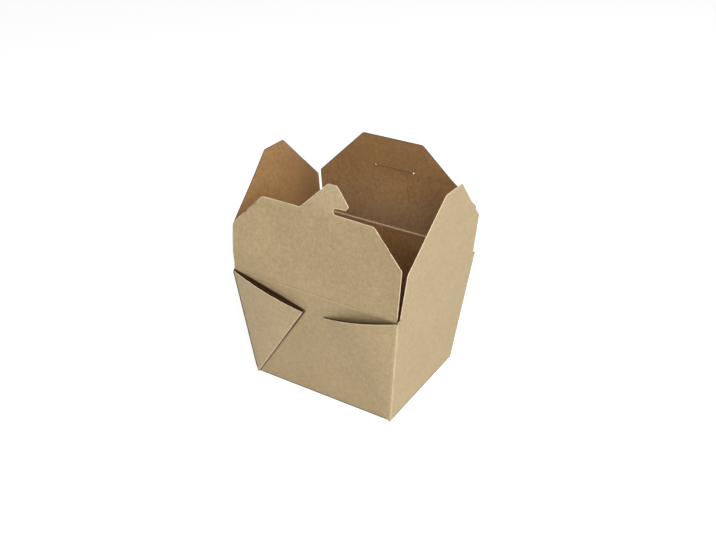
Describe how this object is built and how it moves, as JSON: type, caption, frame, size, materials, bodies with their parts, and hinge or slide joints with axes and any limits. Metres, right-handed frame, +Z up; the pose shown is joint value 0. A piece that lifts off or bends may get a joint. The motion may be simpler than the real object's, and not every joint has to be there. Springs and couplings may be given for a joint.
{
  "type": "folded paperboard takeaway box",
  "caption": "Open folded kraft paperboard food box with tapered tray, folded corner webs, lid flaps and a hook and slit closure.",
  "frame": {"origin": "centre of the underside of the tray's base, on the surface the box stands on", "axes": "+Z up, +X towards the right side wall, +Y from the front wall with the hook flap to the back wall"},
  "size_m": [0.138, 0.1172, 0.1627],
  "materials": {
    "kraft_board": "matte"
  },
  "bodies": {
    "tray": {"tray": "kraft_board"},
    "front_flap": {"front_flap": "kraft_board"},
    "back_flap": {"back_flap": "kraft_board"},
    "right_flap": {"right_flap": "kraft_board"},
    "left_flap": {"left_flap": "kraft_board"}
  },
  "joints": [
    {"name": "left_crease", "type": "hinge", "parent": "tray", "child": "left_flap", "pos_m": [-0.06327, 0, 0.08722], "axis": [0, 1, 0], "range_deg": [-101.6, 93.4]},
    {"name": "right_crease", "type": "hinge", "parent": "tray", "child": "right_flap", "pos_m": [0.06327, 0, 0.08722], "axis": [0, -1, 0], "range_deg": [-99.4, 94.8]},
    {"name": "back_crease", "type": "hinge", "parent": "tray", "child": "back_flap", "pos_m": [0, 0.05477, 0.08822], "axis": [1, 0, 0], "range_deg": [-111.8, 81.2]},
    {"name": "front_crease", "type": "hinge", "parent": "tray", "child": "front_flap", "pos_m": [0, -0.05477, 0.08822], "axis": [-1, 0, 0], "range_deg": [-111.5, 78.5]}
  ]
}
